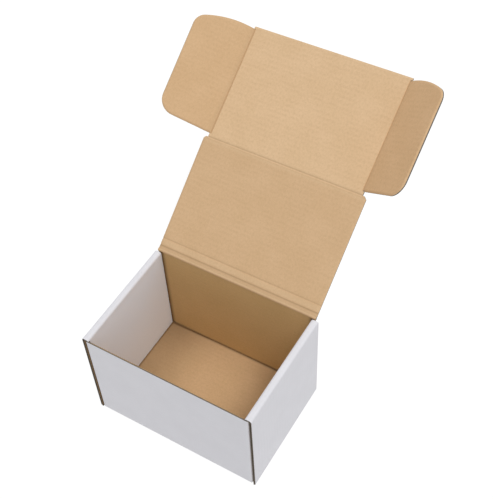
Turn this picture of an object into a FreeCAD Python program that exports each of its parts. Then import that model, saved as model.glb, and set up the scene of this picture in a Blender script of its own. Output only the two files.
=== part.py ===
import FreeCAD, Part
import math
import os
import Sketcher

# Corrugated mailer box with a hinged lid, millimetres.
# The box stands on z = 0 with the middle of its underside at the origin, its front towards -y.
# One folded sheet makes the tray. The lid, the flap in front of it and the flap's two ears
# are panels of the same blank that swing on creases, so each is a solid of its own.

doc = FreeCAD.newDocument("mailer_box")
sheet = doc.addObject("Spreadsheet::Sheet", "sizes")

# Driving dimensions: name, value, what it is
driving = [
    ("box_width", 240.0, "over the outer side walls"),
    ("box_depth", 165.0, "over the front and back walls"),
    ("box_height", 156.0, "underside to the top of the rolled side walls"),
    ("board", 3.0, "thickness of the corrugated board"),
    ("layer_gap", 0.15, "air between two layers of a side wall"),
    ("seat_gap", 0.1, "air under an edge that stands on the bottom panel"),
    ("roll_inset", 0.2, "air between the rolled strip and the back wall"),
    ("wing_gap", 11.0, "between the two corner wings of one side wall"),
    ("tab_length", 34.0, "locking tab under an inner side wall"),
    ("tab_spacing", 78.0, "between the two tabs of one side"),
    ("tab_gap", 0.3, "air at each end of a tab"),
    ("tab_recess", 0.2, "tab stops this far above the underside"),
    ("side_inset", 3.0, "side wall ends this far before the back face"),
    ("lid_inset", 4.5, "lid's edge inside the outer face of a side wall"),
    ("lid_gap", 0.2, "air between the closed lid and the rolled strips"),
    ("crease_gap", 0.1, "air between the two panels of a crease"),
    ("flap_gap", 0.5, "air between the closed flap and the walls around it"),
    ("floor_gap", 1.2, "air between the closed flap and the bottom panel"),
    ("lid_corner", 4.0, "slanted corner of the lid beside the flap"),
    ("score_first", 6.5, "first score line of the lid, from its crease"),
    ("score_step", 9.0, "from one score line to the next"),
    ("score_depth", 0.4, "score line into the inner face"),
    ("score_radius", 0.8, "rounding of a score line"),
    ("ear_width", 76.0, "ear from its crease to its outer edge"),
    ("ear_start", 5.0, "ear at its crease, from the flap's crease"),
    ("ear_end_inset", 3.5, "other end of the ear's crease, before the flap's free edge"),
    ("ear_near", 8.0, "near corner of the ear, from the flap's crease"),
    ("ear_far_inset", 17.5, "far corner of the ear, before the flap's free edge"),
    ("ear_far_arc", 133.0, "radius of the ear's bowed far edge"),
    ("ear_near_round", 21.0, "radius of the near corner"),
    ("ear_far_round", 17.0, "radius of the far corner"),
]
# Angles of the open box, degrees
driving += [
    ("lid_open", 142.7, "lid away from closed"),
    ("flap_back", 2.7, "flap bent back past the lid's plane"),
    ("left_ear_fold", 25.0, "left ear folded towards the inner face"),
    ("right_ear_fold", 42.0, "right ear folded towards the inner face"),
]
# Sizes that follow from them
derived = [
    ("wall_inside", "=box_width / 2 - board", "inner face of an outer side wall"),
    ("wing_outside", "=wall_inside - layer_gap", "outer face of a corner wing"),
    ("wing_inside", "=wing_outside - board", "inner face of a corner wing"),
    ("roll_inside", "=wing_inside - layer_gap", "outer face of an inner side wall"),
    ("room_side", "=roll_inside - board", "inner face of an inner side wall"),
    ("fold_top", "=box_height - board", "underside of a rolled strip"),
    ("front_top", "=fold_top - layer_gap", "top edge of the front wall and the wings"),
    ("seat", "=board + seat_gap", "where an edge stands above the bottom panel"),
    ("back_inside", "=box_depth - board", "inner face of the back wall"),
    ("roll_end", "=back_inside - roll_inset", "back end of the rolled strip"),
    ("half_board", "=board / 2", "creases turn about the middle of the board"),
    ("wing_length", "=( box_depth - board * 2 - wing_gap ) / 2", "corner wing, along the depth"),
    ("hinge_y", "=box_depth - half_board", "crease of the lid"),
    ("hinge_z", "=box_height + lid_gap + half_board", "crease of the lid"),
    ("panel_start", "=half_board + crease_gap", "a swinging panel starts this far from its crease"),
    ("lid_length", "=hinge_y - board - flap_gap - half_board", "lid crease to flap crease"),
    ("lid_side", "=box_width / 2 - lid_inset", "half the width of the lid"),
    ("flap_side", "=room_side - flap_gap", "half the width of the flap"),
    ("ear_crease", "=flap_side - half_board", "ear crease from the middle of the flap"),
    ("flap_length", "=hinge_z - board - floor_gap", "flap crease to the flap's free edge"),
    ("ear_end", "=flap_length - ear_end_inset", "other end of the ear's crease"),
    ("ear_far", "=flap_length - ear_far_inset", "far corner of the ear, from the flap's crease"),
]
row = 0
for name, value, note in driving + derived:
    row += 1
    sheet.set("A%d" % row, name)
    sheet.set("B%d" % row, value if isinstance(value, str) else repr(value))
    sheet.setAlias("B%d" % row, name)
    sheet.set("C%d" % row, note)
doc.recompute()


def size(name):
    """Value of one cell of the sheet."""
    return float(sheet.get(name))


def bind(obj, prop, formula):
    """Ties a property to a formula of sheet names, or to a plain number."""
    words = []
    for word in formula.replace("(", " ( ").replace(")", " ) ").split():
        plain = word.replace("_", "").isalpha()
        words.append("sizes." + word if plain else word)
    obj.setExpression(prop, " ".join(words))


def place(obj, x, y, z):
    bind(obj, "Placement.Base.x", x)
    bind(obj, "Placement.Base.y", y)
    bind(obj, "Placement.Base.z", z)


def block(name, x, y, z):
    """Box between the (low, high) formulas of x, y and z."""
    box = doc.addObject("Part::Box", name)
    for prop, (low, high) in zip(("Length", "Width", "Height"), (x, y, z)):
        bind(box, prop, "( %s ) - ( %s )" % (high, low))
    place(box, x[0], y[0], z[0])
    return box


def rod(name, direction, start, radius, length, sweep=360, turn=0):
    """Cylinder along a direction, or the part of one that begins at an angle."""
    bar = doc.addObject("Part::Cylinder", name)
    bind(bar, "Radius", radius)
    bind(bar, "Height", length)
    bar.Angle = sweep
    aim = FreeCAD.Rotation(FreeCAD.Vector(0, 0, 1), direction)
    bar.Placement.Rotation = aim.multiply(FreeCAD.Rotation(FreeCAD.Vector(0, 0, 1), turn))
    place(bar, *start)
    return bar


def fuse(name, pieces):
    whole = doc.addObject("Part::MultiFuse", name)
    whole.Shapes = pieces
    whole.Refine = True
    return whole


def cut(name, base, tool):
    rest = doc.addObject("Part::Cut", name)
    rest.Base = base
    rest.Tool = tool
    rest.Refine = True
    return rest


along_x = FreeCAD.Vector(1, 0, 0)
along_y = FreeCAD.Vector(0, 1, 0)
along_z = FreeCAD.Vector(0, 0, 1)


def span(sign, low, high):
    """Formulas of a stretch of x on the right (+1) or mirrored to the left (-1)."""
    if sign > 0:
        return (low, high)
    return ("0 - ( %s )" % high, "0 - ( %s )" % low)


def at(sign, x):
    return x if sign > 0 else "0 - ( %s )" % x


# Tray, drawn with its front face in y = 0: bottom panel, with slots for the locking tabs
bottom = block("bottom", ("0 - wall_inside", "wall_inside"), ("board", "back_inside"), ("0", "board"))
slots = []
tabs = []
for side, sign in (("left", -1), ("right", 1)):
    for index, step in (("front", "0 - tab_spacing / 2"), ("rear", "tab_spacing / 2")):
        middle = "box_depth / 2 + ( %s )" % step
        reach = ("%s - tab_length / 2" % middle, "%s + tab_length / 2" % middle)
        slots.append(block("slot_%s_%s" % (side, index),
                           span(sign, "room_side - layer_gap", "roll_inside + layer_gap"),
                           (reach[0] + " - tab_gap", reach[1] + " + tab_gap"),
                           ("0 - board", "board * 2")))
        tabs.append(block("tab_%s_%s" % (side, index),
                          span(sign, "room_side", "roll_inside"), reach,
                          ("tab_recess", "seat + board")))
slotted = cut("slotted_bottom", bottom, fuse("slots", slots))

# Tray: each side is an outer wall, a strip rolled over the top and an inner wall
sides = []
for side, sign in (("left", -1), ("right", 1)):
    whole_depth = ("0", "box_depth - side_inset")
    strip_depth = ("0", "roll_end")
    room_depth = ("board + roll_inset", "roll_end")
    outward = 0 if sign > 0 else 90
    inward = 90 if sign > 0 else 0
    sides.append(block(side + "_outer_wall", span(sign, "wall_inside", "box_width / 2"),
                       whole_depth, ("board", "fold_top")))
    sides.append(block(side + "_strip", span(sign, "roll_inside", "wall_inside"),
                       strip_depth, ("fold_top", "box_height")))
    sides.append(block(side + "_inner_wall", span(sign, "room_side", "roll_inside"),
                       room_depth, ("seat", "fold_top")))
    # Folds are quarter rounds about the inner corner; turned so that 0 degrees points to +x
    # and the angle grows towards -z
    sides.append(rod(side + "_bottom_fold", along_y, (at(sign, "wall_inside"), "0", "board"),
                     "board", "box_depth - side_inset", 90, outward))
    sides.append(rod(side + "_outer_fold", along_y, (at(sign, "wall_inside"), "0", "fold_top"),
                     "board", "roll_end", 90, inward + 180))
    sides.append(rod(side + "_inner_fold", along_y, (at(sign, "roll_inside"), "board + roll_inset", "fold_top"),
                     "board", "roll_end - board - roll_inset", 90, outward + 180))

# Tray: front and back walls with a wing folded round each corner into the side walls
ends = []
ends.append(block("front_wall", ("0 - wing_inside", "wing_inside"), ("0", "board"), ("board", "front_top")))
ends.append(block("back_wall", ("0 - wing_inside", "wing_inside"), ("back_inside", "box_depth"),
                  ("board", "hinge_z")))
ends.append(block("back_rim", ("0 - lid_side", "lid_side"), ("back_inside", "box_depth"),
                  ("fold_top", "hinge_z")))
ends.append(rod("back_crease", along_x, ("0 - lid_side", "hinge_y", "hinge_z"), "half_board", "lid_side * 2"))
ends.append(rod("front_bottom_fold", along_x, ("0 - wing_inside", "board", "board"),
                "board", "wing_inside * 2", 90, 270))
ends.append(rod("back_bottom_fold", along_x, ("0 - wing_inside", "back_inside", "board"),
                "board", "wing_inside * 2", 90, 0))
for side, sign in (("left", -1), ("right", 1)):
    wing = span(sign, "wing_inside", "wing_outside")
    height = ("seat", "front_top")
    ends.append(block(side + "_front_wing", wing, ("board", "board + wing_length"), height))
    ends.append(block(side + "_back_wing", wing, ("back_inside - wing_length", "back_inside"), height))
    front_turn = 270 if sign > 0 else 180
    back_turn = 0 if sign > 0 else 90
    ends.append(rod(side + "_front_fold", along_z, (at(sign, "wing_inside"), "board", "seat"),
                    "board", "front_top - seat", 90, front_turn))
    ends.append(rod(side + "_back_fold", along_z, (at(sign, "wing_inside"), "back_inside", "seat"),
                    "board", "front_top - seat", 90, back_turn))
tray = fuse("tray", [slotted] + tabs + sides + ends)

# Lid, drawn closed about its crease: it reaches towards -y and its inner face looks down
lid_plate = block("lid_plate", ("0 - lid_side", "lid_side"),
                  ("0 - lid_length", "0 - panel_start"), ("0 - half_board", "half_board"))
lid_end = rod("lid_end", along_x, ("0 - flap_side", "0 - lid_length", "0"), "half_board", "flap_side * 2")
# A block turned half-way slants across each corner beside the flap
corner_starts = {"left": ("lid_corner - lid_side", "0 - lid_length", 135),
                 "right": ("lid_side", "lid_corner - lid_length", 225)}
lid_tools = []
for side, (across, along, turned) in corner_starts.items():
    corner = doc.addObject("Part::Box", side + "_lid_corner")
    bind(corner, "Length", "lid_corner * 1.5")
    bind(corner, "Width", "lid_corner * 2")
    bind(corner, "Height", "board * 2")
    corner.Placement.Rotation = FreeCAD.Rotation(along_z, turned)
    place(corner, across, along, "0 - board")
    lid_tools.append(corner)
for number in (0, 1):
    lid_tools.append(rod("score_%d" % (number + 1), along_x,
                         ("0 - lid_side", "0 - score_first - score_step * %d" % number,
                          "score_depth - half_board - score_radius"),
                         "score_radius", "lid_side * 2"))
lid_panel = cut("lid_panel", fuse("lid_whole", [lid_plate, lid_end]), fuse("lid_tools", lid_tools))

# Front flap, drawn in the lid's plane about its own crease
flap_plate = block("flap_plate", ("0 - ear_crease", "ear_crease"),
                   ("0 - flap_length", "0 - panel_start"), ("0 - half_board", "half_board"))
flap_edges = []
for side, sign in (("left", -1), ("right", 1)):
    flap_edges.append(rod("flap_%s_edge" % side, along_y, (at(sign, "ear_crease"), "0 - flap_length", "0"),
                          "half_board", "flap_length - panel_start"))
front_flap = fuse("front_flap", [flap_plate] + flap_edges)


def ear(side, sign):
    """Ear drawn in the flap's plane about its own crease: its far edge is bowed, two corners are rounded."""
    body = doc.addObject("PartDesign::Body", side + "_ear")
    plane = [f for f in body.Origin.OriginFeatures if f.Role == "XY_Plane"][0]
    sketch = body.newObject("Sketcher::SketchObject", side + "_ear_outline")
    sketch.AttachmentSupport = [(plane, "")]
    sketch.MapMode = "FlatFace"
    bind(sketch, "AttachmentOffset.Base.z", "0 - half_board")
    corners = [("panel_start", "ear_start"), ("ear_width", "ear_near"),
               ("ear_width", "ear_far"), ("panel_start", "ear_end")]
    points = [FreeCAD.Vector(sign * size(out), -size(down), 0) for out, down in corners]
    near_edge = sketch.addGeometry(Part.LineSegment(points[0], points[1]))
    outer_edge = sketch.addGeometry(Part.LineSegment(points[1], points[2]))
    far_edge = sketch.addGeometry(Part.Arc(points[2], bowed(points[2], points[3]), points[3]))
    crease = sketch.addGeometry(Part.LineSegment(points[3], points[0]))
    # An arc runs against the clock, so the right ear's begins at its crease
    arc_ends = (2, 1) if sign > 0 else (1, 2)
    for first, end, second, start in ((near_edge, 2, outer_edge, 1), (outer_edge, 2, far_edge, arc_ends[0]),
                                      (far_edge, arc_ends[1], crease, 1), (crease, 2, near_edge, 1)):
        sketch.addConstraint(Sketcher.Constraint("Coincident", first, end, second, start))
    bow = sketch.addConstraint(Sketcher.Constraint("Radius", far_edge, size("ear_far_arc")))
    bind(sketch, "Constraints[%d]" % bow, "ear_far_arc")
    held = ((near_edge, 1), (outer_edge, 1), (outer_edge, 2), (crease, 1))
    for index, ((edge, end), (out, down)) in enumerate(zip(held, corners)):
        # Point -1, 1 is the origin; the distances keep the sign of the side
        across = sketch.addConstraint(Sketcher.Constraint("DistanceX", -1, 1, edge, end, points[index].x))
        bind(sketch, "Constraints[%d]" % across, at(sign, out))
        along = sketch.addConstraint(Sketcher.Constraint("DistanceY", -1, 1, edge, end, points[index].y))
        bind(sketch, "Constraints[%d]" % along, "0 - " + down)
    doc.recompute()
    pad = body.newObject("PartDesign::Pad", side + "_ear_sheet")
    pad.Profile = sketch
    bind(pad, "Length", "board")
    body.Tip = pad
    doc.recompute()
    for corner, radius in (("ear_near", "ear_near_round"), ("ear_far", "ear_far_round")):
        base = body.Tip
        rounded = body.newObject("PartDesign::Fillet", "%s_%s_round" % (side, corner))
        rounded.Base = (base, [upright_edge(base.Shape, sign * size("ear_width"), -size(corner))])
        bind(rounded, "Radius", radius)
        body.Tip = rounded
        doc.recompute()
    return body


def bowed(first, last):
    """Middle of the far edge, which bows outwards from the flap's crease."""
    half_chord = first.distanceToPoint(last) / 2
    rise = size("ear_far_arc") - math.sqrt(size("ear_far_arc") ** 2 - half_chord ** 2)
    middle = (first + last) / 2
    outwards = (last - first).cross(along_z).normalize()
    return middle + outwards * (rise if outwards.y < 0 else -rise)


def upright_edge(shape, x, y):
    """Name of the edge that stands upright at a point of the plan."""
    best = None
    for number, edge in enumerate(shape.Edges, 1):
        ends_at = [vertex.Point for vertex in edge.Vertexes]
        if len(ends_at) == 2 and abs(ends_at[0].z - ends_at[1].z) > size("half_board"):
            away = math.hypot(ends_at[0].x - x, ends_at[0].y - y)
            if best is None or away < best[0]:
                best = (away, "Edge%d" % number)
    return best[1]


left_ear = ear("left", -1)
right_ear = ear("right", 1)
doc.recompute()

# Places in the open box: each panel stands on the crease of the one before it
stand = FreeCAD.Placement(FreeCAD.Vector(0, -size("box_depth") / 2, 0), FreeCAD.Rotation())
hinge = stand.multiply(FreeCAD.Placement(FreeCAD.Vector(0, size("hinge_y"), size("hinge_z")),
                                         FreeCAD.Rotation(along_x, -size("lid_open"))))
fold = FreeCAD.Placement(FreeCAD.Vector(0, -size("lid_length"), 0),
                         FreeCAD.Rotation(along_x, -size("flap_back")))
flap_place = hinge.multiply(fold)
places = {
    "tray": stand,
    "lid_panel": hinge,
    "front_flap": flap_place,
    "left_ear": flap_place.multiply(FreeCAD.Placement(
        FreeCAD.Vector(-size("ear_crease"), 0, 0), FreeCAD.Rotation(along_y, -size("left_ear_fold")))),
    "right_ear": flap_place.multiply(FreeCAD.Placement(
        FreeCAD.Vector(size("ear_crease"), 0, 0), FreeCAD.Rotation(along_y, size("right_ear_fold")))),
}
parts = {"tray": tray, "lid_panel": lid_panel, "front_flap": front_flap,
         "left_ear": left_ear, "right_ear": right_ear}
for name, part in parts.items():
    part.Label = name
    part.Placement = places[name]
doc.recompute()

# Nothing is written unless every feature worked
for obj in doc.Objects:
    if "Invalid" in obj.State or "Error" in obj.State:
        raise RuntimeError("%s failed: %s" % (obj.Name, obj.State))
for name, part in parts.items():
    shape = part.Shape
    if shape.isNull() or not shape.isValid() or len(shape.Solids) != 1:
        raise RuntimeError("%s is not one valid solid" % name)

os.makedirs("parts", exist_ok=True)
for name, part in parts.items():
    part.Shape.exportStep("parts/%s.step" % name)
    box = part.Shape.BoundBox
    print("%-11s %9.0f mm3  x %7.1f %7.1f  y %7.1f %7.1f  z %7.1f %7.1f"
          % (name, part.Shape.Volume, box.XMin, box.XMax, box.YMin, box.YMax, box.ZMin, box.ZMax))
for name in ("lid_panel", "front_flap", "left_ear", "right_ear"):
    base = places[name].Base
    turn = places[name].Rotation.multVec(along_y if "ear" in name else along_x)
    print("%s crease through (%.3f, %.3f, %.3f) along (%.5f, %.5f, %.5f)"
          % (name, base.x, base.y, base.z, turn.x, turn.y, turn.z))
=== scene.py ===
import math

import bpy
import numpy as np
from mathutils import Matrix, Vector


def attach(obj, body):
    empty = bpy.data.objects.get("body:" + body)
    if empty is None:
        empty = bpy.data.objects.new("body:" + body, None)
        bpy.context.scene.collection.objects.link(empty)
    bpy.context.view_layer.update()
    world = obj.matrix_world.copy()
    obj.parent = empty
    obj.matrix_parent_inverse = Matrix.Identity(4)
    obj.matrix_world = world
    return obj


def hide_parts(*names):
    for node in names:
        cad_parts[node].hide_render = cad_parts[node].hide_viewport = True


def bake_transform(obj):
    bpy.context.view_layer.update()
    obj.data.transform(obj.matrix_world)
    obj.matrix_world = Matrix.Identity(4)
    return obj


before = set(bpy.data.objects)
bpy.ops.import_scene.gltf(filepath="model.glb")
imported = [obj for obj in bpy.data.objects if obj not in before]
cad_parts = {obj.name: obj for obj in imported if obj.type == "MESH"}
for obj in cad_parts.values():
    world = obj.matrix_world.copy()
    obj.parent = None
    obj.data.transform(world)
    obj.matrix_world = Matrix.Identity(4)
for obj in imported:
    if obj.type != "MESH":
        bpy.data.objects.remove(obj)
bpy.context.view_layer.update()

# Mailer box of single wall board, kraft inside and white outside, open on its bottom panel.
# Lengths are millimetres until a mesh is made. On every panel s runs across the flutes,
# t along them, and n is the height over the middle of the board, above 0 on the kraft side.
# Each mesh carries a number called shade: on kraft it is painted light above 0 and painted
# shade below 0, and on white it is the share of painted light on the liner.
# A line, groove or fade is set by two numbers, how strong and how wide it is.
board = {
    "half": 1.5,            # half of its thickness
    "liner": 0.28,
    "medium": 0.22,         # the fluted paper
    "flute": 6.5,           # from one flute tip to the next
    "steps": 8,             # rows of a flute in the mesh
    "washboard": 0.03,      # liners sink this far between the tips
    "tipIn": 0.02,          # flute tips go this far into the liners
    "tipLimit": 0.03,       # and no further than this where the board is pressed
    "bend": 1.7,            # radius of a fold at the middle of the board
    "foldColumns": 8,       # columns of a square fold in the mesh
    "sliver": 0.05,         # very short run, where an outline steps beside a fold
    "creaseHalf": 1.6,      # a crease takes this much of the board on each side of its line
    "pinch": (1.55, 1.2),   # how the die presses a cut edge down
    "bare": 0.25,           # width of the kraft side beside a cut edge that is drawn with the cut edge's finish
    "sharp": 40.0,          # degrees, from which an edge of the mesh is drawn sharp
}
half, bend, creaseHalf = board["half"], board["bend"], board["creaseHalf"]
kraftSide, whiteSide, flutedPaper, cutEdge = range(4)
metre = 1000.0


class Wire:
    # a socket of a material, so that maths on it reads as plain expressions
    def __init__(self, finish, socket):
        self.finish = finish
        self.socket = socket

    def __add__(self, other):
        return self.finish.maths("ADD", self, other)

    def __radd__(self, other):
        return self.finish.maths("ADD", other, self)

    def __sub__(self, other):
        return self.finish.maths("SUBTRACT", self, other)

    def __rsub__(self, other):
        return self.finish.maths("SUBTRACT", other, self)

    def __mul__(self, other):
        return self.finish.maths("MULTIPLY", self, other)

    def __rmul__(self, other):
        return self.finish.maths("MULTIPLY", other, self)

    def cosine(self):
        return self.finish.maths("COSINE", self, 0.0)

    def aboveZero(self):
        return self.finish.maths("MAXIMUM", self, 0.0)


class Finish:
    # the nodes of one material, or of the world
    def __init__(self, owner):
        owner.use_nodes = True
        self.owner = owner
        self.tree = owner.node_tree
        self.tree.nodes.clear()

    def node(self, kind, settings, inputs, output=0):
        made = self.tree.nodes.new("ShaderNode" + kind)
        for key, value in settings.items():
            setattr(made, key, value)
        for key, value in inputs.items():
            if isinstance(value, Wire):
                self.tree.links.new(value.socket, made.inputs[key])
            else:
                made.inputs[key].default_value = value
        return Wire(self, made.outputs[output]) if len(made.outputs) else None

    def maths(self, operation, first, second):
        return self.node("Math", {"operation": operation}, {0: first, 1: second})

    def mix(self, share, first, second):
        # sockets 6 and 7 take the colours, and output 2 gives one
        return self.node("Mix", {"data_type": "RGBA"}, {0: share, 6: first, 7: second}, 2)

    def noise(self, place, scale, detail):
        # a pair of scales, across and along the flutes, draws the pattern out
        if isinstance(scale, tuple):
            place, scale = self.node("Mapping", {}, {"Vector": place, "Scale": (*scale, 1.0)}), 1.0
        return self.node("TexNoise", {}, {"Vector": place, "Scale": scale, "Detail": detail})

    def ramp(self, value, ends):
        return self.node("MapRange", {"interpolation_type": "SMOOTHSTEP"},
                         {"Value": value, "From Min": ends[0], "From Max": ends[1]})

    def sheet(self):
        # place on the flat board, in metres, and 1 over the flute tips to 0 between them
        place = self.node("UVMap", {"uv_map": "sheet"}, {})
        s = self.node("SeparateXYZ", {}, {0: place})
        return place, (s * (2 * math.pi * metre / board["flute"])).cosine() * 0.5 + 0.5

    def shade(self):
        return self.node("Attribute", {"attribute_name": "shade"}, {}, "Fac")

    def close(self, look, colour, rough, coarse, fine):
        # rough varies the roughness; coarse and fine are the two grains of the relief
        height = coarse * look["grain"][0] + fine * look["grain"][1]
        bump = self.node("Bump", {}, {"Height": height, "Distance": look["relief"]})
        shader = self.node("BsdfPrincipled", {}, {
            "Base Color": colour,
            "Roughness": look["rough"][0] + rough * look["rough"][1],
            "Specular IOR Level": look["gloss"],
            "Normal": bump})
        self.node("OutputMaterial", {}, {"Surface": shader})
        return self.owner

    def seen(self):
        # 1 where the camera or a reflection looks
        camera, glossy, through = (self.node("LightPath", {}, {}, "Is %s Ray" % kind)
                                   for kind in ("Camera", "Glossy", "Transmission"))
        return camera + glossy + through


kraftLook = {
    "light": (0.672, 0.459, 0.248),
    "dark": (0.644, 0.436, 0.230),
    # fibres, mottle and the painted washboard shade turn towards this colour
    "fibreAndFluteShade": (0.42, 0.26, 0.12, 1),
    # pale flecks; painted light on kraft turns towards this colour too
    "fleckAndPaintedLight": (0.80, 0.60, 0.37, 1),
    # painted shade on kraft darkens towards this colour
    "paintedShade": (0.17, 0.095, 0.04, 1),
    "clouds": (22.0, 4.0),              # scale and detail of each pattern
    "fibres": ((420, 1500), 3.0),
    "strands": ((900, 3200), 2.0),
    "flecks": ((700, 1500), 0.0),
    "mottle": (330.0, 3.0),
    "patches": ((90, 35), 2.0),
    "cloudRamp": (0.3, 0.7),            # where each pattern starts and is full
    "fibreRamp": (0.52, 0.8),
    "fleckRamp": (0.66, 0.76),
    "mottleRamp": (0.35, 0.75),
    "patchRamp": (0.3, 0.65),
    "fibreShare": 0.30,                 # how much each one shows
    "fleckShare": 0.35,
    "mottleShare": 0.16,
    # painted washboard shade over the flutes
    "fluteShare": 0.085,
    # how much painted light pales the kraft
    "paintedLightShare": 0.35,
    "rough": (0.78, 0.18),              # least roughness, and how much it varies
    "grain": (0.6, 0.4),                # shares of fibres and strands in the relief
    "relief": 0.00006,                  # metres
    "gloss": 0.28,
}


def kraftPaper(name, paintedLightTone):
    # unbleached liner: fibres lie across the flutes; faint bands over the flutes are painted
    # washboard shade
    look = kraftLook
    f = Finish(bpy.data.materials.new(name))
    sheet, flutes = f.sheet()
    clouds, fibres, strands, flecks, mottle, patches = (f.noise(sheet, *look[kind]) for kind in (
        "clouds", "fibres", "strands", "flecks", "mottle", "patches"))
    shade = f.shade()
    # each piece's tone brightens or darkens it: painted light and shade for how light falls on it
    dark, light = ([a * b for a, b in zip(look[key], paintedLightTone)] + [1] for key in ("dark", "light"))
    # faint bands over the flute tips: painted shade of the washboard
    bands = flutes * f.ramp(patches, look["patchRamp"])
    colour = f.mix(f.ramp(clouds, look["cloudRamp"]), dark, light)
    colour = f.mix(bands * look["fluteShare"], colour, look["fibreAndFluteShade"])
    colour = f.mix(f.ramp(mottle, look["mottleRamp"]) * look["mottleShare"], colour, look["fibreAndFluteShade"])
    colour = f.mix(f.ramp(fibres, look["fibreRamp"]) * look["fibreShare"], colour, look["fibreAndFluteShade"])
    colour = f.mix(f.ramp(flecks, look["fleckRamp"]) * look["fleckShare"], colour, look["fleckAndPaintedLight"])
    # painted light where shade is above 0
    colour = f.mix(shade.aboveZero() * look["paintedLightShare"], colour, look["fleckAndPaintedLight"])
    # painted shade where shade is below 0
    colour = f.mix((0.0 - shade).aboveZero(), colour, look["paintedShade"])
    return f.close(look, colour, fibres, fibres, strands)


whiteLook = {
    "light": (0.83, 0.82, 0.85, 1),
    "dark": (0.805, 0.795, 0.825, 1),
    # colour of the painted light on the inner walls' white
    "paintedLight": (0.89, 0.915, 0.98, 1),
    # fibres and the painted washboard shade turn towards this colour
    "fibreAndFluteShade": (0.62, 0.60, 0.60, 1),
    "clouds": (30.0, 4.0),
    "fibres": ((420, 1500), 3.0),
    "strands": ((1100, 3600), 2.0),
    "cloudRamp": (0.3, 0.7),
    "fibreRamp": (0.6, 0.85),
    "fibreShare": 0.16,
    # painted washboard shade over the flutes
    "fluteShare": 0.03,
    "rough": (0.56, 0.14),
    "grain": (0.5, 0.5),
    "relief": 0.00003,
    "gloss": 0.4,
}


def whitePaper(name):
    # bleached top liner: smoother, a little mottled, with faint painted washboard shade over the
    # flutes
    look = whiteLook
    f = Finish(bpy.data.materials.new(name))
    sheet, flutes = f.sheet()
    clouds, fibres, strands = (f.noise(sheet, *look[kind])
                               for kind in ("clouds", "fibres", "strands"))
    colour = f.mix(f.ramp(clouds, look["cloudRamp"]), look["dark"], look["light"])
    # faint bands over the flute tips: painted shade of the washboard
    colour = f.mix(flutes * look["fluteShare"], colour, look["fibreAndFluteShade"])
    colour = f.mix(f.ramp(fibres, look["fibreRamp"]) * look["fibreShare"], colour, look["fibreAndFluteShade"])
    # painted light, by the share that shade gives
    colour = f.mix(f.shade(), colour, look["paintedLight"])
    return f.close(look, colour, clouds, fibres, strands)


rawLook = {
    "paper": ((0.18, 0.15, 0.12, 1), (0.29, 0.24, 0.185, 1)),     # dark and light
    "edge": ((0.24, 0.205, 0.17, 1), (0.38, 0.33, 0.27, 1)),
    "coarse": (900.0, 3.0),
    "fine": (3200.0, 2.0),
    "coarseRamp": (0.35, 0.7),
    "rough": (0.86, 0.1),
    "grain": (0.6, 0.4),
    "relief": 0.00012,
    "gloss": 0.15,
}


def rawPaper(name, tones):
    # fluted paper and cut edges: coarse, torn fibres
    look = rawLook
    f = Finish(bpy.data.materials.new(name))
    place = f.node("TexCoord", {}, {}, "Object")
    coarse, fine = f.noise(place, *look["coarse"]), f.noise(place, *look["fine"])
    colour = f.mix(f.ramp(coarse, look["coarseRamp"]), *tones)
    return f.close(look, colour, fine, coarse, fine)


white = whitePaper("whiteLiner")
paper = rawPaper("flutedPaper", rawLook["paper"])
edge = rawPaper("cutEdge", rawLook["edge"])
print("materials made")


def smooth(x):
    x = np.clip(x, 0.0, 1.0)
    return x * x * (3 - 2 * x)


def line(x, place, strength, wide):
    return strength * np.exp(-((x - place) / wide) ** 2)


def fading(away, strength, wide):
    return strength * (1 - smooth(away / wide))


def flatColumns(marks, step):
    # places along a run, with every mark among them
    found = [marks[0]]
    for first, last in zip(marks, marks[1:]):
        count = max(1, int(round((last - first) / step)))
        found += list(np.linspace(first, last, count + 1)[1:])
    return np.array(found)


def walk(start, heading, moves):
    # follows a folded sheet: (length, 0, columns) is a run, (0, degrees, columns) a fold to the
    # left; ends gives the last column of each move
    spot, angle, length = np.array(start, float), math.radians(heading), 0.0
    spots, sides, lengths, ends = [], [], [], []

    def note():
        spots.append(spot.copy())
        sides.append((-math.sin(angle), math.cos(angle)))
        lengths.append(length)

    note()
    for run, fold, count in moves:
        for column in range(count):
            turn = math.radians(fold) / count
            chord = 2 * bend * math.sin(abs(turn) / 2) if fold else run / count
            angle += turn / 2
            spot = spot + chord * np.array((math.cos(angle), math.sin(angle)))
            angle += turn / 2
            length += bend * abs(turn) if fold else chord
            note()
        ends.append(len(lengths) - 1)
    return np.array(spots), np.array(sides), np.array(lengths), ends


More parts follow.
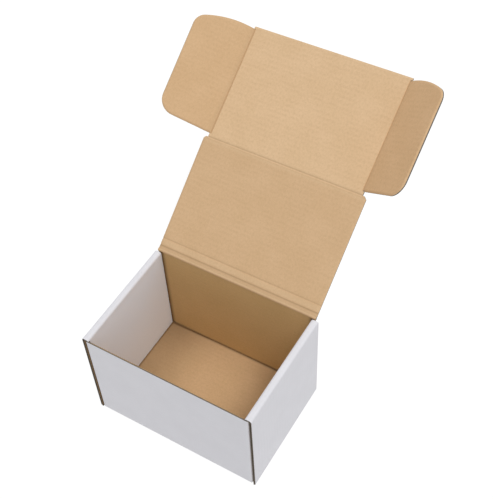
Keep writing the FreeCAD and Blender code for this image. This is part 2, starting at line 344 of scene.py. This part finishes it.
class Cardboard:
    # the closed shells of one piece: two liners and the fluted paper between them
    def __init__(self):
        self.points, self.quads, self.looks, self.sheet, self.shades = [], [], [], [], []
        self.count = 0

    def shell(self, upper, lower, s, t, looks, shade=None):
        # looks are those of the upper face, the lower face and the rim
        rows, columns = s.shape
        a = self.count + np.arange(rows * columns).reshape(rows, columns)
        b = a + rows * columns
        parts = [
            (looks[0], (a[:-1, :-1], a[:-1, 1:], a[1:, 1:], a[1:, :-1])),
            (looks[1], (b[:-1, :-1], b[1:, :-1], b[1:, 1:], b[:-1, 1:])),
            (looks[2], (a[0, :-1], b[0, :-1], b[0, 1:], a[0, 1:])),
            (looks[2], (a[-1, 1:], b[-1, 1:], b[-1, :-1], a[-1, :-1])),
            (looks[2], (a[1:, 0], b[1:, 0], b[:-1, 0], a[:-1, 0])),
            (looks[2], (a[:-1, -1], b[:-1, -1], b[1:, -1], a[1:, -1])),
        ]
        i, j = rows // 2 - 1, columns // 2 - 1
        facing = np.cross(upper[i, j + 1] - upper[i, j], upper[i + 1, j] - upper[i, j])
        flip = np.dot(facing, upper[i, j] - lower[i, j]) < 0
        for look, corners in parts:
            quads = np.stack([corner.ravel() for corner in corners], axis=1)
            self.quads.append(quads[:, ::-1] if flip else quads)
            self.looks.append(np.broadcast_to(look, len(quads)))
        self.points += [upper.reshape(-1, 3), lower.reshape(-1, 3)]
        self.sheet += [np.stack([s.ravel(), t.ravel()], axis=1) / metre] * 2
        self.shades += [np.zeros(s.size) if shade is None else shade.ravel()] * 2
        self.count += 2 * rows * columns

    def panel(self, base, normal, along, across, low, high,
              score=None, bow=None, kraftLightAndShade=None, cut=None, paintedLight=None, crush=None):
        # board between s = low and s = high over columns that stand at t = along; the first shade
        # function gives painted light and shade on kraft, the second painted light on white, cut
        # the distance to the nearest cut edge, score and crush how far the kraft and the white side
        # are pressed in
        base, normal = np.array(base, float), np.array(normal, float)
        low, high = np.broadcast_to(low, along.shape), np.broadcast_to(high, along.shape)
        rows = int((high - low).max() / board["flute"] * board["steps"]) + 3
        s = low + (high - low) * np.linspace(0, 1, rows)[:, None]
        t = np.broadcast_to(along, s.shape)
        phase = 2 * math.pi * s / board["flute"]
        tip = 0.5 + 0.5 * np.cos(phase)
        sunk = score(s, t) if score else 0.0
        kraftLooks = kraftSide
        if cut:
            away = cut(s, t, low, high)
            sunk = sunk + line(away, 0.0, *board["pinch"])
            middle = (away[:-1, :-1] + away[:-1, 1:] + away[1:, 1:] + away[1:, :-1]) / 4
            kraftLooks = np.where(middle < board["bare"], cutEdge, kraftSide).ravel()
        liner, thin, limit = board["liner"], board["medium"], board["tipLimit"]
        kraftTop = half - board["washboard"] * (1 - tip) - sunk
        whiteLow = board["washboard"] * tip - half + (crush(s, t) if crush else 0.0)
        reach = half - liner - thin / 2 + board["tipIn"]
        slope = reach * 2 * math.pi / board["flute"] * np.sin(phase)
        thick = thin / 2 * np.sqrt(1 + slope ** 2)
        waveTop = np.minimum(reach * np.cos(phase) + thick, kraftTop - liner + limit)
        waveTop = np.maximum(waveTop, whiteLow + liner + thin - limit)
        waveLow = np.clip(reach * np.cos(phase) - thick, whiteLow + liner - limit, waveTop - thin)
        lift = bow(s, t) if bow else 0.0

        def level(n):
            return base + s[..., None] * across + (n + lift)[..., None] * normal

        self.shell(level(kraftTop), level(kraftTop - liner), s, t,
                   (kraftLooks, flutedPaper, cutEdge), kraftLightAndShade(s, t) if kraftLightAndShade else None)
        self.shell(level(waveTop), level(waveLow), s, t, (flutedPaper,) * 3)
        self.shell(level(whiteLow + liner), level(whiteLow), s, t,
                   (flutedPaper, whiteSide, cutEdge), paintedLight(s, t) if paintedLight else None)

    def make(self, name, kraft):
        mesh = bpy.data.meshes.new(name)
        quads = np.concatenate(self.quads)
        mesh.from_pydata((np.concatenate(self.points) / metre).tolist(), [], quads.tolist())
        sheet = mesh.uv_layers.new(name="sheet")
        sheet.data.foreach_set("uv", np.concatenate(self.sheet)[quads.ravel()].ravel())
        shade = mesh.attributes.new("shade", "FLOAT", "POINT")
        shade.data.foreach_set("value", np.concatenate(self.shades))
        for look in (kraft, white, paper, edge):
            mesh.materials.append(look)
        mesh.polygons.foreach_set("material_index", np.concatenate(self.looks))
        mesh.polygons.foreach_set("use_smooth", np.ones(len(quads), bool))
        mesh.set_sharp_from_angle(angle=math.radians(board["sharp"]))
        piece = bpy.data.objects.new(name, mesh)
        bpy.context.collection.objects.link(piece)
        return piece


tray = {
    "side": 120.0,                      # outer face of a side wall
    "front": -82.5,
    "back": 82.5,
    "height": 156.0,
    "layerGap": 0.15,                   # air between the layers of a side wall
    "seat": 3.1,                        # where wings and inner walls stand
    "hinge": 157.7,                     # height of the lid's crease
    "tabs": (-39.0, 39.0),              # middles of the locking tabs
    "tabHalf": 17.0,
    "paintedLightTone": (0.975, 0.935, 0.77),       # of its walls' kraft, against kraftLook: painted shade for how light falls in the box
}
outerMiddle = tray["side"] - half
wingMiddle = outerMiddle - 2 * half - tray["layerGap"]
innerMiddle = wingMiddle - 2 * half - tray["layerGap"]
topMiddle = tray["height"] - half
wallMiddle = tray["back"] - half
right, backward, up = np.array((1.0, 0, 0)), np.array((0.0, 1, 0)), np.array((0.0, 0, 1))
wallKraft = kraftPaper("wallKraft", tray["paintedLightTone"])
sliver, foldColumns = board["sliver"], board["foldColumns"]

bottom = {
    "tabGap": 0.3,
    "edgeColumns": (1.0, 3.0),          # columns this far from the sides, for their dark lines
    "step": 20.0,                       # between other columns
    "backLine": (0.7, 2.0),             # painted shade: dark line along the foot of a wall
    "sideLine": (0.5, 1.5),
    "backShade": (0.18, 60.0),           # painted shade, darker towards a wall
    "leftShade": 0.53,
    "rightShade": 0.42,
    "sideShadeWide": 90.0,
    # painted light on the bottom's kraft, against kraftLook
    "paintedLightTone": (1.10, 1.07, 1.09),
}


def bottomPanel():
    # with a slot under each locking tab
    panel = Cardboard()
    inner = innerMiddle - half - tray["layerGap"]
    outer = innerMiddle + half + tray["layerGap"]
    front, back = tray["front"] + bend + half, tray["back"] - bend - half
    near, far = bottom["edgeColumns"]

    # painted shade: dark lines along the walls' feet, and darker towards the back and the sides,
    # more on the left
    def shade(s, t):
        sideShade = np.where(t < 0, bottom["leftShade"], bottom["rightShade"])
        return -(line(s, back, *bottom["backLine"]) + line(abs(t), inner, *bottom["sideLine"])
                 + fading(tray["back"] - s, *bottom["backShade"])
                 + fading(inner - abs(t), sideShade, bottom["sideShadeWide"]))

    def sheet(marks, low, high):
        columns = flatColumns(sorted(marks), bottom["step"])
        base = [(x, 0, half) for x in columns]
        panel.panel(base, [up] * len(base), columns, backward, low, high, kraftLightAndShade=shade)

    sheet([-inner, near - inner, far - inner, inner - far, inner - near, inner], front, back)
    reach = tray["tabHalf"] + bottom["tabGap"]
    stops = [front]
    for middle in tray["tabs"]:
        stops += [middle - reach, middle + reach]
    stops.append(back)
    for sign in (-1, 1):
        for low, high in zip(stops[::2], stops[1::2]):
            sheet((sign * inner, sign * outer), low, high)
        sheet((sign * outer, sign * (outerMiddle - bend)), front, back)
    piece = panel.make("bottomPanel", kraftPaper("bottomKraft", bottom["paintedLightTone"]))
    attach(piece, "tray")
    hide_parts("tray")


sideWalls = {
    "outerBack": 79.5,          # back end of the outer wall
    "rollBack": 78.4,           # back end of the rolled strip and the inner wall
    "innerFront": -79.3,
    "tabLow": 0.2,
    "riseColumns": 14,
    "topColumns": 2,
    "innerColumns": 12,
    "tabColumns": 3,
    "endDark": (0.75, 6.0),     # painted shade: kraft darker towards the front end
    "endIn": 2.0,               # and is darkest within this of it
    "paintedLight": (0.9, 6.0),        # painted light on the white of the inner wall
}


def sideWall(name, sign):
    # outer wall, strip rolled over the top, and inner wall with two tabs at its foot
    wall = Cardboard()
    spots, sides, lengths, ends = walk((outerMiddle - bend, half), 0, [
        (0, 90, foldColumns),
        (topMiddle - half - 2 * bend, 0, sideWalls["riseColumns"]),
        (0, 90, foldColumns),
        (outerMiddle - innerMiddle - 2 * bend, 0, sideWalls["topColumns"]),
        (sliver, 0, 1),
        (0, 90, foldColumns),
        (topMiddle - bend - tray["seat"], 0, sideWalls["innerColumns"])])
    outerTop, topEnd, rollEnd = ends[1], ends[4], ends[5]
    level = np.zeros(len(spots))
    base = np.stack([sign * spots[:, 0], level, spots[:, 1]], axis=1)
    normal = np.stack([sign * sides[:, 0], level, sides[:, 1]], axis=1)
    columns = np.arange(len(spots))
    # the strip steps in at the back early in its first fold, and at the front late in its last
    low = np.interp(columns, [rollEnd - 2, rollEnd], [tray["front"], sideWalls["innerFront"]])
    high = np.where(columns <= outerTop + 1, sideWalls["outerBack"], sideWalls["rollBack"])
    innerLightFrom = lengths[topEnd + 2]
    innerLightShare, innerLightWide = sideWalls["paintedLight"]
    # painted shade on the kraft at the front end, painted light on the inner wall's white
    wall.panel(base, normal, lengths, backward, low, high,
               kraftLightAndShade=lambda s, t: -fading(s - tray["front"] - sideWalls["endIn"],
                                          *sideWalls["endDark"]),
               paintedLight=lambda s, t: innerLightShare * smooth((t - innerLightFrom) / innerLightWide))
    drop = np.linspace(tray["seat"], sideWalls["tabLow"], sideWalls["tabColumns"])
    foot = [(sign * innerMiddle, 0, z) for z in drop]
    for middle in tray["tabs"]:
        wall.panel(foot, [sign * right] * len(foot), lengths[-1] + tray["seat"] - drop, backward,
                   middle - tray["tabHalf"], middle + tray["tabHalf"])
    piece = wall.make(name, wallKraft)
    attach(piece, "tray")
    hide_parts("tray")


endWalls = {
    "frontTop": 152.1,              # top edge of the front wall and the wings
    "rim": 115.5,                   # half the width of the lid's crease
    "wing": 74.0,
    "wingColumns": 6,
    "wallColumns": 14,
    "cornerRuns": (2.9, 6.0),       # short runs beside a corner, for its dark line
    "cornerColumns": (1, 4),
    "footWidth": 12,                # columns of the fold to the bottom
    "squeeze": 1.4,                 # a wing is thinner by this beside its corner,
    "squeezeHold": 4.0,             # as far as this past it,
    "squeezeFade": 12.0,            # and its full thickness after this
    "footLine": (0.7, 1.8),         # painted shade: dark lines at the foot, under the lid's crease and beside a corner
    "hingeLine": (0.12, 5.0),
    "cornerLine": (0.9, 3.6),
    # painted shade over the fold to the bottom
    "foldDark": 0.8,
    "foldGroove": (0.4, 0.5),
}


def endWall(name, sign):
    # front (-1) or back (+1) wall: a wing folded round each corner, and the fold to the bottom
    wall = Cardboard()
    wing = endWalls["wing"] + half - bend
    width = 2 * (wingMiddle - bend)
    nearRun, nextRun = endWalls["cornerRuns"]
    nearColumns, nextColumns = endWalls["cornerColumns"]
    corner = [(0, -90, foldColumns), (sliver, 0, 1), (nearRun, 0, nearColumns),
              (nextRun, 0, nextColumns)]
    between = width - 2 * (sliver + nearRun + nextRun)
    spots, sides, lengths, ends = walk(
        (-wingMiddle, wallMiddle - bend - wing), 90,
        [(wing, 0, endWalls["wingColumns"])] + corner + [(between, 0, endWalls["wallColumns"])]
        + corner[::-1] + [(wing, 0, endWalls["wingColumns"])])
    level = np.zeros(len(spots))
    base = np.stack([spots[:, 0], sign * spots[:, 1], level], axis=1)
    normal = np.stack([-sides[:, 0], -sign * sides[:, 1], level], axis=1)
    columns = np.arange(len(spots))
    middle = (columns >= ends[2]) & (columns <= ends[7])    # between the two slivers
    low = np.where(middle, half + bend, tray["seat"])
    top = tray["hinge"] - creaseHalf if sign > 0 else endWalls["frontTop"]
    high = np.where(middle, top, endWalls["frontTop"])
    cornerAt = wing + bend * math.pi / 4

    def squeezed(s, t):
        # the wing goes in thin between the side wall's layers
        past = cornerAt - np.minimum(t, lengths[-1] - t)
        share = smooth((past + bend) / (2 * bend))
        return share * fading(past - endWalls["squeezeHold"], endWalls["squeeze"],
                              endWalls["squeezeFade"])

    # painted shade: dark lines at the wall's foot, under the lid's crease and beside each corner
    def shade(s, t):
        return -(line(s, low, *endWalls["footLine"])
                 + line(s, tray["hinge"], *endWalls["hingeLine"])
                 + line(abs(t - lengths[-1] / 2), width / 2 - nearRun, *endWalls["cornerLine"]))

    wall.panel(base, normal, lengths, up, low, high, kraftLightAndShade=shade, crush=squeezed,
               cut=None if sign > 0 else lambda s, t, low, high: high - s)
    if sign > 0:
        # the crease of the lid is a little wider than the wall under it
        for side in (-1, 1):
            span = np.array(sorted((side * (wingMiddle - bend), side * endWalls["rim"])))
            wall.panel([(x, wallMiddle, 0) for x in span], [-backward] * 2, span, up,
                       tray["height"] - 2 * half, top)
    arc, leans, rounds, ends = walk((wallMiddle - bend, half), 0, [(0, 90, foldColumns)])
    x = np.linspace(half - wingMiddle, wingMiddle - half, endWalls["footWidth"])
    foot = np.stack(np.broadcast_arrays(x, sign * arc[:, :1], arc[:, 1:]), axis=-1)
    lean = np.stack(np.broadcast_arrays(0 * x, sign * leans[:, :1], leans[:, 1:]), axis=-1)
    s, t = np.broadcast_arrays(rounds[:, None], x)
    groove = line(s, rounds[-1] / 2, *endWalls["foldGroove"])
    # the fold to the bottom is darkened all over with painted shade
    wall.shell(foot + (half - groove[..., None]) * lean, foot - half * lean, s, t,
               (kraftSide, whiteSide, cutEdge), np.full(s.shape, -endWalls["foldDark"]))
    piece = wall.make(name, wallKraft)
    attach(piece, "tray")
    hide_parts("tray")


bottomPanel()
sideWall("leftWall", -1)
sideWall("rightWall", 1)
endWall("frontWall", -1)
endWall("backWall", 1)
print("tray made")


def turned(forward, kraftUp, angle):
    # forward and kraft directions of a panel after a bend away from the kraft side
    return (math.cos(angle) * forward - math.sin(angle) * kraftUp,
            math.sin(angle) * forward + math.cos(angle) * kraftUp)


strips = {
    "rows": 17,
    "step": 12.0,           # between columns
    "turnHalf": 1.1,        # a crease turns within this distance of its line
    "grooveWide": 0.8,
    "lineAt": 0.4,          # its line of painted shade, past the middle
    "clear": 0.02,          # the turn stays this clear of the panels' edges
}


def crease(name, spot, along, ends, forward, kraftUp, angle, groove, shade, kraft):
    # crushed strip of board about a crease line, turning from the panel on one side to the other
    strip = Cardboard()
    turnHalf = strips["turnHalf"]
    x = np.linspace(-creaseHalf, creaseHalf, strips["rows"])
    t = flatColumns(ends, strips["step"])
    kraftRows, whiteRows = [], []
    for place in x:
        turn = angle * float(smooth((place + turnHalf) / (2 * turnHalf)))
        ahead, above = turned(forward, kraftUp, turn)
        sunk = line(place, 0.0, groove, strips["grooveWide"])
        kraftRows.append(spot + place * ahead + (half - sunk) * above)
        whiteRows.append(spot + place * ahead - half * above)
    places = t[:, None] * along
    s, t = np.broadcast_arrays(x[:, None], t)
    strip.shell(np.array(kraftRows)[:, None, :] + places, np.array(whiteRows)[:, None, :] + places,
                s, t, (kraftSide, whiteSide, cutEdge), shade(s))
    piece = strip.make(name, kraft)
    ahead = turned(forward, kraftUp, angle / 2)[0]
    room = creaseHalf * math.cos(angle / 2) - half * math.sin(abs(angle) / 2) - strips["clear"]
    reach = min(turnHalf, room)
    (spot - reach * ahead) / metre
    (spot + reach * ahead) / metre
    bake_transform(piece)


lid = {
    "open": 52.7,                       # degrees back from upright
    "side": 116.1,
    "length": 158.5,                    # from its crease to the flap's
    "corner": 3.4,                      # slanted corner beside the flap
    "scores": (6.5, 15.5),              # score lines, from the crease
    "score": (0.5, 1.0),
    "bow": -0.5,
    "edgeColumns": (0.7, 1.5),          # columns this far from the cut edges
    "step": 8.0,                        # between other columns
    "creasePale": 0.5,                  # painted highlight on the outer half of its crease
    "creasePaleWide": 1.0,
    "stripPale": 0.45,                  # painted light between the score lines
    "stripPaleWide": 1.0,
    "firstDark": 0.08,                  # painted shade between the crease and the first score line
    # painted shade on the score lines
    "scoreLine": (0.36, 1.4),
    "paintedRidgeHighlight": (0.5, 1.6),                # painted highlight, before the flap's crease
    "ridgeIn": 4.0,
    # painted light on the lid's kraft, against kraftLook
    "paintedLightTone": (1.06, 1.04, 1.10),
}
flap = {
    "back": 2.7,                        # degrees past the lid's plane
    "side": 110.2,
    "length": 153.5,
    "earLine": 108.7,                   # crease of an ear, from the middle
    "bow": 0.5,
    "step": 8.0,
    "groove": 0.5,
    # painted light over its crease
    "creasePale": 0.1,
    # painted shade in its crease
    "creaseLine": (0.30, 1.4),
    "panelLine": (0.08, 1.5),           # painted shade: dark line on the panel beside its crease
    # painted light on the flap's kraft, against kraftLook
    "paintedLightTone": (1.18, 1.20, 1.32),
}
ears = {
    "left": 25.0,                       # degrees folded in
    "right": 42.0,
    "start": 5.0,                       # ends of an ear's crease, from the flap's crease
    "end": 150.0,
    "near": 7.3,                        # corners at the outer edge, before they are rounded
    "far": 136.0,
    "width": 76.5,
    "farArc": 133.0,                    # radius of the bowed far edge
    "nearRound": 21.0,
    "farRound": 17.0,
    "bow": 0.6,
    "step": 6.0,
    "samples": 400,                     # points that the corners' ends are looked for among
    "roundColumns": 22,
    "roundFrom": -0.12,                 # part of a quarter turn, in radians, before the corners
    "beforeRound": 3.0,                 # last even column, before the corners
    "groove": 0.5,
    # painted shade in its crease
    "creaseLine": (0.17, 1.2),
    # painted shade on the panel beside its crease
    "panelLine": (0.08, 1.5),
    # painted light on each ear's kraft, against kraftLook
    "leftPaintedLightTone": (1.07, 1.04, 1.08),
    "rightPaintedLightTone": (1.15, 1.11, 1.15),
}
hinge = wallMiddle * backward + tray["hinge"] * up
lidAngle, flapAngle = math.radians(lid["open"]), math.radians(flap["back"])
lidAhead, lidUp = turned(up, -backward, lidAngle)
flapAhead, flapUp = turned(lidAhead, lidUp, flapAngle)
flapLine = hinge + lid["length"] * lidAhead


def bowed(look, side):
    return lambda s, t: look["bow"] * np.sin(math.pi * s / look["length"]) * (1 - (t / side) ** 2)


# painted light between the score lines and before the flap's crease; painted shade on the score
# lines and before the first one
def lidShade(s, t):
    first, last = lid["scores"]
    strip = smooth((s - first) / lid["stripPaleWide"]) - smooth((s - last) / lid["stripPaleWide"])
    dark = sum(line(s, at, *lid["scoreLine"]) for at in lid["scores"])
    paintedRidgeHighlight = line(s, lid["length"] - lid["ridgeIn"], *lid["paintedRidgeHighlight"])
    return lid["stripPale"] * strip - dark - lid["firstDark"] * (s < first) + paintedRidgeHighlight


def makeLid():
    kraft = kraftPaper("lidKraft", lid["paintedLightTone"])
    side, pale = lid["side"], lid["creasePaleWide"]
    # the crease's outer half gets a painted highlight
    crease("lidCrease", hinge, right, [-side, side], up, -backward, lidAngle, 0.0,
           lambda s: lid["creasePale"] * smooth((s + pale) / (2 * pale)),
           kraft)
    slab = Cardboard()
    marks = [side - away for away in lid["edgeColumns"]]
    marks += [side - lid["corner"], flap["side"] + sliver, flap["side"]]
    t = flatColumns([-side] + [-x for x in marks] + marks[::-1] + [side], lid["step"])
    slanted = lid["length"] - np.maximum(0, abs(t) - side + lid["corner"])
    beside = abs(t) > flap["side"] + sliver / 2
    high = np.where(beside, slanted, lid["length"] - creaseHalf)
    slab.panel(hinge + t[:, None] * right, [lidUp] * len(t), t, lidAhead, creaseHalf, high,
               score=lambda s, t: sum(line(s, at, *lid["score"]) for at in lid["scores"]),
               bow=bowed(lid, side), kraftLightAndShade=lidShade,
               cut=lambda s, t, low, high: side - abs(t))
    piece = slab.make("lidPanel", kraft)
    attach(piece, "lid")
    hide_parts("lid_panel")


def makeFlap():
    kraft = kraftPaper("flapKraft", flap["paintedLightTone"])
    side, length = flap["side"], flap["length"]
    # painted light over the crease, with a line of painted shade in it
    crease("flapCrease", flapLine, right, [-side, side], lidAhead, lidUp, flapAngle, flap["groove"],
           lambda s: flap["creasePale"] - line(s, strips["lineAt"], *flap["creaseLine"]),
           kraft)
    slab = Cardboard()
    inside = flap["earLine"] - creaseHalf
    t = flatColumns([-inside, inside], flap["step"])
    # painted shade on the panel beside its crease
    slab.panel(flapLine + t[:, None] * right, [flapUp] * len(t), t, flapAhead, creaseHalf, length,
               bow=bowed(flap, inside),
               kraftLightAndShade=lambda s, t: -line(s, creaseHalf, *flap["panelLine"]),
               cut=lambda s, t, low, high: high - s)
    for sign in (-1, 1):
        # short ends beside each ear
        t = np.array(sorted((sign * inside, sign * side)))
        for low, high in ((creaseHalf, ears["start"]), (ears["end"], length)):
            slab.panel(flapLine + t[:, None] * right, [flapUp] * 2, t, flapAhead, low, high,
                       cut=lambda s, t, low, high: length - s)
    piece = slab.make("flapPanel", kraft)
    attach(piece, "flap")
    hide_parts("front_flap")


def nearEdge(t):
    share = (t - creaseHalf) / (ears["width"] - creaseHalf)
    return ears["start"] + (ears["near"] - ears["start"]) * share


def farEdge(t):
    # circle through the far ends of the crease and of the outer edge
    first = np.array((creaseHalf, ears["end"]))
    last = np.array((ears["width"], ears["far"]))
    chord = last - first
    reach = np.hypot(*chord)
    drop = math.sqrt(ears["farArc"] ** 2 - reach ** 2 / 4)
    centre = (first + last) / 2 + drop / reach * np.array((chord[1], -chord[0]))
    return centre[1] + np.sqrt(ears["farArc"] ** 2 - (t - centre[0]) ** 2)


def rounded(edgeAt, radius, side, t):
    # an edge that meets the outer edge in a round corner; side is +1 where the ear lies above it
    centre = ears["width"] - radius

    def rise(x):
        return np.sqrt(np.maximum(0, radius ** 2 - (x - centre) ** 2))

    fine = np.linspace(centre - radius, ears["width"], ears["samples"])
    inside = side * edgeAt(fine) + rise(fine)
    touch = fine[np.argmax(inside)]
    return np.where(t > touch, side * inside.max() - side * rise(t), edgeAt(t))


def makeEar(name, sign, body, degrees, paintedLightTone):
    kraft = kraftPaper(name + "Kraft", paintedLightTone)
    fold, width = math.radians(degrees), ears["width"]
    spot, outward = flapLine + sign * flap["earLine"] * right, sign * right
    ahead, above = turned(outward, flapUp, -fold)
    # a line of painted shade in the crease
    crease(name + "Crease", spot, flapAhead, [ears["start"], ears["end"]], outward, flapUp, -fold,
           ears["groove"], lambda s: -line(s, strips["lineAt"], *ears["creaseLine"]),
           kraft)
    slab = Cardboard()
    widest = max(ears["nearRound"], ears["farRound"])
    flat = flatColumns([creaseHalf, width - widest - ears["beforeRound"]], ears["step"])
    turns = np.linspace(ears["roundFrom"], math.pi / 2, ears["roundColumns"])
    t = np.concatenate([flat, width - widest + widest * np.sin(turns)])
    low = rounded(nearEdge, ears["nearRound"], 1, t)
    high = rounded(farEdge, ears["farRound"], -1, t)
    # painted shade on the panel beside the crease
    slab.panel(spot + t[:, None] * ahead, [above] * len(t), t, flapAhead, low, high,
               bow=lambda s, t: ears["bow"] * (t / width) ** 2,
               kraftLightAndShade=lambda s, t: -line(t, creaseHalf, *ears["panelLine"]),
               cut=lambda s, t, low, high: np.minimum(width - t, np.minimum(s - low, high - s)))
    piece = slab.make(name + "Panel", kraft)
    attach(piece, body)
    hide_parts(body)


makeLid()
makeFlap()
makeEar("leftEar", -1, "left_ear", ears["left"], ears["leftPaintedLightTone"])
makeEar("rightEar", 1, "right_ear", ears["right"], ears["rightPaintedLightTone"])
print("lid, flap and ears made")


floorLook = {
    "half": 4.0,                        # metres
    "grid": 8,
    "below": 0.0005,                    # under the box
    "grain": (400.0, 3.0),
    "card": ((0.64, 0.64, 0.64, 1), (0.68, 0.68, 0.68, 1)),
    "glow": 0.90,                       # seen: white, with a little of the shadow
    "shadow": (0.16, 0.16, 0.16, 1),
}
light = {
    "sky": 0.60,
    "skyTone": (0.97, 0.98, 1.0, 1),
    "sun": 1.20,
    "sunFrom": (0.36, -0.20, 0.91),
    "sunSize": 25.0,                    # degrees
}
view = {
    "place": (0.43163, -0.54694, 1.11274),
    "turn": 35.04,                      # degrees round the box, from its front to its right
    "height": 51.72,                    # degrees above the floor
    "roll": -4.86,
    "lens": 69.94,
    "shift": (0.0338, 0.0771),
    "clip": 0.01,
}
pureWhite = (1, 1, 1, 1)


def makeFloor():
    # white to the camera, and plain white card to the light
    f = Finish(bpy.data.materials.new("whiteFloor"))
    place = f.node("TexCoord", {}, {}, "Object")
    tint = f.mix(f.noise(place, *floorLook["grain"]), *floorLook["card"])
    card = f.node("BsdfDiffuse", {}, {"Color": tint})
    glow = f.node("Emission", {}, {"Color": pureWhite, "Strength": floorLook["glow"]})
    faint = f.node("BsdfDiffuse", {}, {"Color": floorLook["shadow"]})
    lit = f.node("AddShader", {}, {0: glow, 1: faint})
    shown = f.node("MixShader", {}, {0: f.seen(), 1: card, 2: lit})
    f.node("OutputMaterial", {}, {"Surface": shown})
    bpy.ops.mesh.primitive_grid_add(
        x_subdivisions=floorLook["grid"], y_subdivisions=floorLook["grid"],
        size=2 * floorLook["half"], location=(0, 0, -floorLook["below"]))
    floor = bpy.context.object
    floor.name = "floor"
    floor.data.materials.append(f.owner)


def makeLight():
    f = Finish(bpy.data.worlds.new("studio"))
    lamp = f.node("Background", {}, {"Color": light["skyTone"], "Strength": light["sky"]})
    backdrop = f.node("Background", {}, {"Color": pureWhite, "Strength": 1.0})
    shown = f.node("MixShader", {}, {0: f.seen(), 1: lamp, 2: backdrop})
    f.node("OutputWorld", {}, {"Surface": shown})
    bpy.context.scene.world = f.owner
    sunData = bpy.data.lights.new("softSun", "SUN")
    sunData.energy = light["sun"]
    sunData.angle = math.radians(light["sunSize"])
    sun = bpy.data.objects.new("softSun", sunData)
    sun.rotation_mode = "QUATERNION"
    sun.rotation_quaternion = Vector(light["sunFrom"]).to_track_quat("Z", "Y")
    bpy.context.collection.objects.link(sun)


def makeCamera():
    turn, height, roll = (math.radians(view[key]) for key in ("turn", "height", "roll"))
    towards = Vector((math.sin(turn) * math.cos(height), -math.cos(turn) * math.cos(height),
                      math.sin(height)))
    level = (-towards).cross(Vector((0, 0, 1))).normalized()
    top = level.cross(-towards)
    rightward = math.cos(roll) * level + math.sin(roll) * top
    upward = math.cos(roll) * top - math.sin(roll) * level
    axes = Matrix((rightward, upward, towards)).transposed().to_4x4()
    data = bpy.data.cameras.new("camera")
    data.lens = view["lens"]
    data.shift_x, data.shift_y = view["shift"]
    data.clip_start = view["clip"]
    camera = bpy.data.objects.new("camera", data)
    camera.matrix_world = Matrix.Translation(view["place"]) @ axes
    bpy.context.collection.objects.link(camera)
    bpy.context.scene.camera = camera


makeFloor()
makeLight()
makeCamera()
bpy.context.scene.view_settings.view_transform = "Standard"
print("stage made")
